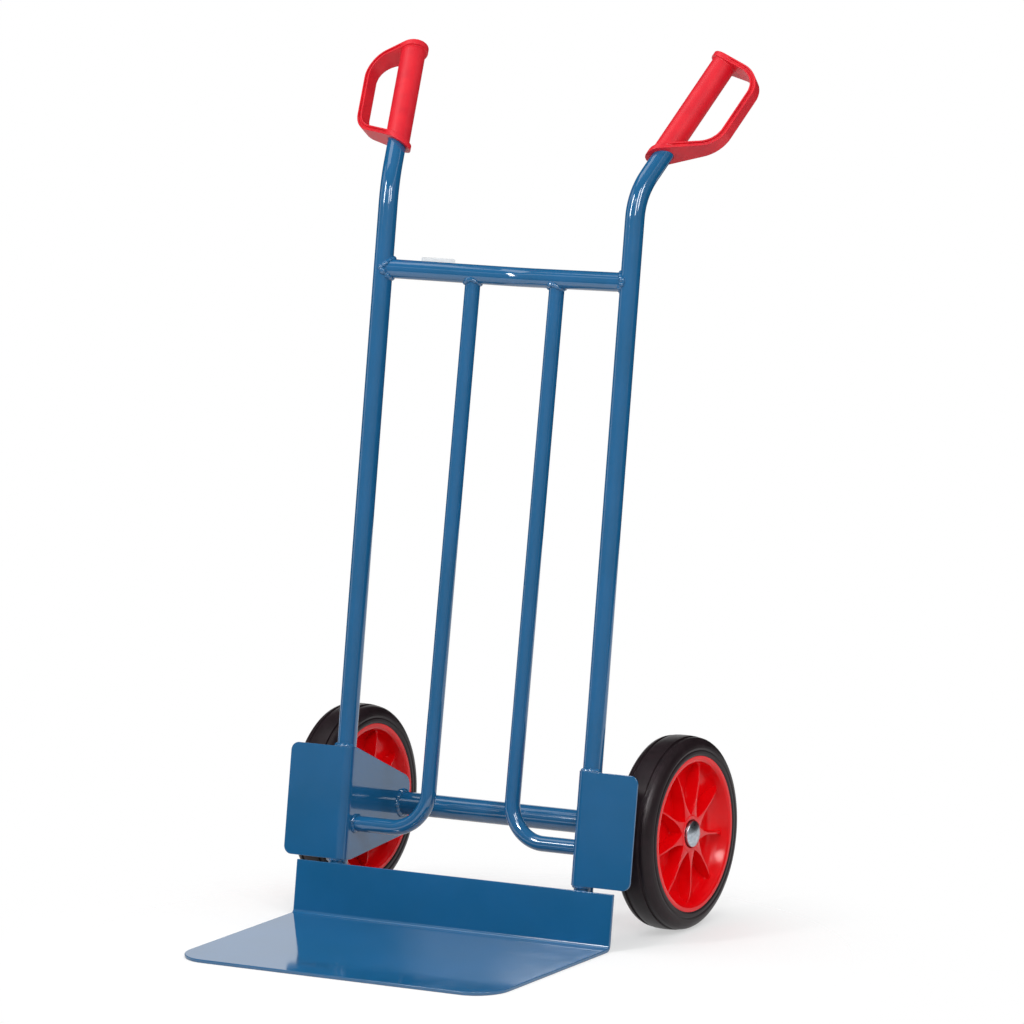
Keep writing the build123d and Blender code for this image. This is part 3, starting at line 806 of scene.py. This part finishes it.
def guardRun(height):
    # Over the front of the upright along the guard's edge
    wrap = weld["guardWrap"]
    turns = [radians(-wrap + 2 * wrap * k / weld["points"]) for k in range(weld["points"] + 1)]
    spot = Vector((tubes["halfSpacing"], -tubes["ahead"], height))
    return [spot + Vector((sin(a), -cos(a), 0)) * tubes["uprightRadius"] for a in turns]


def seamRun(x, y, low, high):
    # Up the line where the upright touches a sheet
    return [Vector((x, y, low + (high - low) * k / weld["points"]))
            for k in range(weld["points"] + 1)]


seamStart, seamEnd = weld["seamStart"], weld["seamEnd"]
closedRuns = [
    ("crossbarWeld", saddleRing(
        crossbarEnd, crossbarDirection, tubes["uprightRadius"],
        crossbarEnd, up, tubes["uprightRadius"]), weld["bead"]),
    ("barTopWeld", saddleRing(
        barTop, barDirection, tubes["barRadius"],
        crossbarEnd, crossbarDirection, tubes["uprightRadius"]), weld["fine"]),
    ("barFootWeld", cheekRing(barEnd, tubes["barRadius"]), weld["fine"]),
    ("axleTubeWeld", cheekRing(axleTubeEnds[0], tubes["axleTubeRadius"]), weld["bead"]),
]
openRuns = [
    ("guardTopWeld", guardRun(weld["guardEdge"]), weld["seam"]),
    ("guardLowWeld", guardRun(-weld["guardEdge"]), weld["seam"]),
    ("cheekSeamHigh", seamRun(*weld["cheekSeam"], seamStart, seamEnd), weld["seam"]),
    ("cheekSeamLow", seamRun(*weld["cheekSeam"], -seamEnd, -seamStart), weld["seam"]),
    ("guardSeamHigh", seamRun(*weld["guardSeam"], seamStart, seamEnd), weld["seam"]),
    ("guardSeamLow", seamRun(*weld["guardSeam"], -seamEnd, -seamStart), weld["seam"]),
]
for seed, (name, run, bead) in enumerate(closedRuns + openRuns):
    for side in ("Left", "Right"):
        ring = seed < len(closedRuns)
        piece = newPiece(name + side, lineMesh(name + side, run, closed=ring), blueEnamel)
        runTree(piece, weldTree, blueEnamel, BeadRadius=bead, RipplePitch=weld["pitch"],
                RippleDepth=weld["ripple"], Wander=weld["wander"],
                Seed=seed + (weld["rightSeed"] if side == "Right" else 0.0))
        piece.data.transform(benchToRow)
        if side == "Right":
            piece.data.transform(mirrorX)
        tidyMesh(piece.data, gap=1e-6)
        piece.data.shade_smooth()
        dress(piece, "frame", "blue_paint")
print("welds laid")

# Bare name plate on the back of the crossbar
plate = {"from": -138.0, "to": -92.0, "low": -8.0, "high": 18.0, "thick": 0.8, "corner": 2.0}
plateMiddle = (plate["from"] + plate["to"]) / 2
plateHalf = (plate["to"] - plate["from"]) / 2
plateCorners = ((-plateHalf, plate["low"]), (plateHalf, plate["low"]),
                (plateHalf, plate["high"]), (-plateHalf, plate["high"]))
plateOutline = softCorners([(*spot, plate["corner"]) for spot in plateCorners])
plateAlong = Vector((crossbarDirection.x, -crossbarDirection.y, 0))
plateBack = up.cross(plateAlong)
plateSpot = crossbarMiddle + plateAlong * (plateMiddle / plateAlong.x)
plateSpot += plateBack * tubes["uprightRadius"]
plateMesh = bpy.data.meshes.new("namePlate")
plateVerts = [plateSpot + plateAlong * p.x + up * p.y + plateBack * depth
              for depth in (0, plate["thick"]) for p in plateOutline]
count = len(plateOutline)
plateFaces = [tuple(range(count)), tuple(range(count, 2 * count))]
plateFaces += [(i, (i + 1) % count, count + (i + 1) % count, count + i) for i in range(count)]
plateMesh.from_pydata(plateVerts, [], plateFaces)
plateMesh.transform(benchToRow)
tidyMesh(plateMesh, gap=1e-7)
dress(newPiece("namePlate", plateMesh, platePlastic), "frame", "cage_plastic")
print("name plate fixed")

# Camera at the photograph's angle, in millimetres from the axle's centre
shot = {
    "azimuth": 30.3, "pitch": 8.91, "roll": -0.56, "focal": 6555.84, "picture": 1024,
    "right": -1.94, "up": -22.63, "distance": 8460.14, "aim": (0, 0, 375), "sensor": 36,
    "clip": 100,
}
azimuth, pitch, roll = (radians(shot[key]) for key in ("azimuth", "pitch", "roll"))
back = Vector((sin(azimuth) * cos(pitch), -cos(azimuth) * cos(pitch), sin(pitch)))
level = Vector((cos(azimuth), sin(azimuth), 0))
levelUp = back.cross(level)
right = level * cos(roll) + levelUp * sin(roll)
top = levelUp * cos(roll) - level * sin(roll)
cameraSpot = Vector(shot["aim"]) + back * shot["distance"]
cameraSpot -= right * shot["right"] + top * shot["up"]
camera = bpy.data.objects.new("camera", bpy.data.cameras.new("camera"))
scene.collection.objects.link(camera)
camera.data.sensor_width = shot["sensor"]
camera.data.lens = shot["sensor"] * shot["focal"] / shot["picture"]
camera.data.clip_end = shot["clip"]
cameraTurn = Matrix((right, top, back)).transposed().to_4x4()
camera.matrix_world = Matrix.Translation(axleToRow @ cameraSpot) @ cameraTurn
scene.camera = camera
print("camera placed")

# Studio: a white floor that keeps the shadow and fades into a white room
studio = {"floorSize": 12.0, "floor": "#B4B4B4", "fibre": 1.1111, "room": 0.58, "lift": 0.5,
          "middle": (0.08, 0.02, 0), "fadeStart": 0.34, "fadeEnd": 0.64}


def seenByEye(tree):
    # One where the camera looks, straight or in a mirror or through glass
    rays = addNode(tree, "ShaderNodeLightPath").outputs
    shine = addNode(tree, "ShaderNodeMath", {0: rays["Is Camera Ray"], 1: rays["Is Glossy Ray"]},
                    operation="MAXIMUM")
    seen = addNode(tree, "ShaderNodeMath", {0: shine.outputs[0], 1: rays["Is Transmission Ray"]},
                   operation="MAXIMUM")
    return seen.outputs[0]


floorMesh = bpy.data.meshes.new("floor")
half = studio["floorSize"] / 2
floorMesh.from_pydata([(-half, -half, 0), (half, -half, 0), (half, half, 0), (-half, half, 0)],
                      [], [(0, 1, 2, 3)])
# Seamless white paper: dead matt, with a fine fibre. It lifts its own shade for the eye alone.
floorPaint, floorTree, floorPlace = startMaterial("whitePaperSweep")
lift = addNode(floorTree, "ShaderNodeMath", {0: seenByEye(floorTree), 1: studio["lift"]},
               operation="MULTIPLY")
fibre = addNode(floorTree, "ShaderNodeTexNoise", {
    "Vector": floorPlace, "Scale": perMetre(studio["fibre"])})
fibreBump = addNode(floorTree, "ShaderNodeBump", {
    "Height": fibre.outputs["Fac"], "Strength": 0.02, "Distance": 0.0002})
paper = addNode(floorTree, "ShaderNodeBsdfPrincipled", {
    "Base Color": linearColour(studio["floor"]), "Roughness": 0.9, "Specular IOR Level": 0.0,
    "Normal": fibreBump.outputs["Normal"], "Emission Color": (1, 1, 1, 1),
    "Emission Strength": lift.outputs[0]})
away = addNode(floorTree, "ShaderNodeVectorMath", {0: floorPlace, 1: studio["middle"]},
               operation="DISTANCE")
fade = addNode(floorTree, "ShaderNodeMapRange", {
    "Value": away.outputs["Value"], "From Min": studio["fadeStart"], "From Max": studio["fadeEnd"]},
    interpolation_type="SMOOTHSTEP")
straight = addNode(floorTree, "ShaderNodeLightPath").outputs["Is Camera Ray"]
gone = addNode(floorTree, "ShaderNodeMath", {0: fade.outputs["Result"], 1: straight},
               operation="MULTIPLY")
clear = addNode(floorTree, "ShaderNodeBsdfTransparent")
sweep = addNode(floorTree, "ShaderNodeMixShader", {
    0: gone.outputs[0], 1: paper.outputs["BSDF"], 2: clear.outputs["BSDF"]})
addNode(floorTree, "ShaderNodeOutputMaterial", {"Surface": sweep.outputs["Shader"]})
newPiece("floor", floorMesh, floorPaint)

world = bpy.data.worlds.new("whiteRoom")
scene.world = world
world.use_nodes = True
sky = world.node_tree
sky.nodes.clear()
dim = addNode(sky, "ShaderNodeBackground", {"Color": (1, 1, 1, 1), "Strength": studio["room"]})
white = addNode(sky, "ShaderNodeBackground", {"Color": (1, 1, 1, 1), "Strength": 1.0})
both = addNode(sky, "ShaderNodeMixShader", {
    0: seenByEye(sky), 1: dim.outputs["Background"], 2: white.outputs["Background"]})
addNode(sky, "ShaderNodeOutputWorld", {"Surface": both.outputs["Shader"]})
print("white room made")

# Matt felt cards round the set, out of the picture, that gloss paint mirrors as bands.
# They run from one angle to another, in degrees from straight behind the truck as photographed
# to the right of the picture, and from one height to another, in metres.
cards = {"radius": 3.0, "steps": 3, "weave": 2.5}
cardRuns = [
    ("blackCardRight", 14, 66, -1.2, 2.6, "#101113"),
    ("paleCardFar", 98, 150, -1.2, 2.6, "#A8A8A8"),
    ("paleCardFront", 150, 215, -1.2, 2.6, "#B2B2B2"),
    ("greyCardLeft", 215, 285, 0.43, 2.6, "#96989A"),
    ("dimCardLeft", 215, 285, 0.34, 0.43, "#606265"),
    ("blackCardLow", 215, 285, -1.2, 0.34, "#18191B"),
    ("blackCardGap", 66, 98, -1.2, 2.6, "#101113"),
    ("blackCardLeft", 300, 346, -1.2, 2.6, "#101113"),
    ("blackCardHigh", -60, 60, 1.5, 3.4, "#101113"),
]
ceiling = {"radius": 3.4, "height": 3.3, "around": 48, "tone": "#8C8E92"}


def cardMesh(name, begin, end, low, high):
    count = max(2, ceil((end - begin) / cards["steps"]))
    verts = []
    for i in range(count + 1):
        angle = radians(begin + (end - begin) * i / count)
        out = (-back.xy.normalized() * cos(angle) + level.xy * sin(angle)) * cards["radius"]
        verts += [(out.x, out.y, low), (out.x, out.y, high)]
    mesh = bpy.data.meshes.new(name)
    mesh.from_pydata(verts, [], [(2 * i, 2 * i + 1, 2 * i + 3, 2 * i + 2) for i in range(count)])
    return mesh


def ceilingMesh(name):
    count = ceiling["around"]
    angles = [2 * pi * i / count for i in range(count)]
    verts = [(ceiling["radius"] * cos(a), ceiling["radius"] * sin(a), ceiling["height"])
             for a in angles]
    mesh = bpy.data.meshes.new(name)
    mesh.from_pydata(verts, [], [tuple(range(count))])
    return mesh


stageCards = [(name, cardMesh(name, *run), tone) for name, *run, tone in cardRuns]
stageCards.append(("greyCeiling", ceilingMesh("greyCeiling"), ceiling["tone"]))
for name, mesh, tone in stageCards:
    felt, feltTree, feltPlace = startMaterial(name + "Felt")
    weave = addNode(feltTree, "ShaderNodeTexNoise", {
        "Vector": feltPlace, "Scale": perMetre(cards["weave"])})
    nap = addNode(feltTree, "ShaderNodeBump", {
        "Height": weave.outputs["Fac"], "Strength": 0.05, "Distance": 0.0005})
    closeMaterial(feltTree, addNode(feltTree, "ShaderNodeBsdfPrincipled", {
        "Base Color": linearColour(tone), "Roughness": 0.9, "Specular IOR Level": 0.0,
        "Normal": nap.outputs["Normal"]}))
    card = newPiece(name, mesh, felt)
    card.visible_camera = card.visible_shadow = card.visible_diffuse = False

# Lamps as (name, place, aim, width, height, watts), in metres round the truck
lamps = [
    ("overheadSoftbox", (0.0, 0.3, 4.6), (0, 0.25, 0.4), 2.6, 2.6, 26),
    ("toePanel", (-1.49, -2.27, 1.67), (0, 0.12, 0.03), 0.5, 0.24, 0.8),
    ("highSoftbox", (-1.18, -0.07, 3.05), (0, 0.25, 0.8), 1.3, 1.3, 9),
    ("lowReflector", (2.6, 1.25, 0.15), (0, 0.2, 0.45), 1.3, 0.6, 7.0),
    ("rimPanel", (0.46, -1.43, 1.78), (0.26, 0.39, 0.08), 0.4, 0.4, 1.3),
]
unmirrored = ("overheadSoftbox", "lowReflector")  # these light the truck and show in no mirror
shineOnly = {"rimPanel": 26}  # only a shine, in the near rim's dish, with its beam in degrees
# Three tall softboxes as (degrees to the right of straight in front, height, length, watts)
tall = {"reach": 2.4, "width": 0.35, "middle": (0, 0.45, 0.95)}
tallRuns = [(-26, 2.0, 1.15, 25), (33, 2.0, 1.15, 15), (56, 1.85, 0.85, 11)]
for i, (turn, height, length, watts) in enumerate(tallRuns):
    middle = Vector(tall["middle"])
    spot = middle + Vector((sin(radians(turn)), -cos(radians(turn)), 0)) * tall["reach"]
    spot.z = height
    lamps.append(("tallSoftbox" + str(i + 1), spot, middle, tall["width"], length, watts))
for name, spot, aim, width, height, watts in lamps:
    lamp = bpy.data.lights.new(name, "AREA")
    lamp.shape = "RECTANGLE"
    lamp.size, lamp.size_y, lamp.energy = width, height, watts
    if name in shineOnly:
        lamp.spread = radians(shineOnly[name])
    holder = bpy.data.objects.new(name, lamp)
    scene.collection.objects.link(holder)
    holder.location = spot
    holder.visible_glossy = name not in unmirrored
    holder.visible_diffuse = name not in shineOnly
    holder.rotation_euler = (Vector(spot) - Vector(aim)).to_track_quat("Z", "Y").to_euler()
scene.view_settings.view_transform = "Standard"
print("studio set")
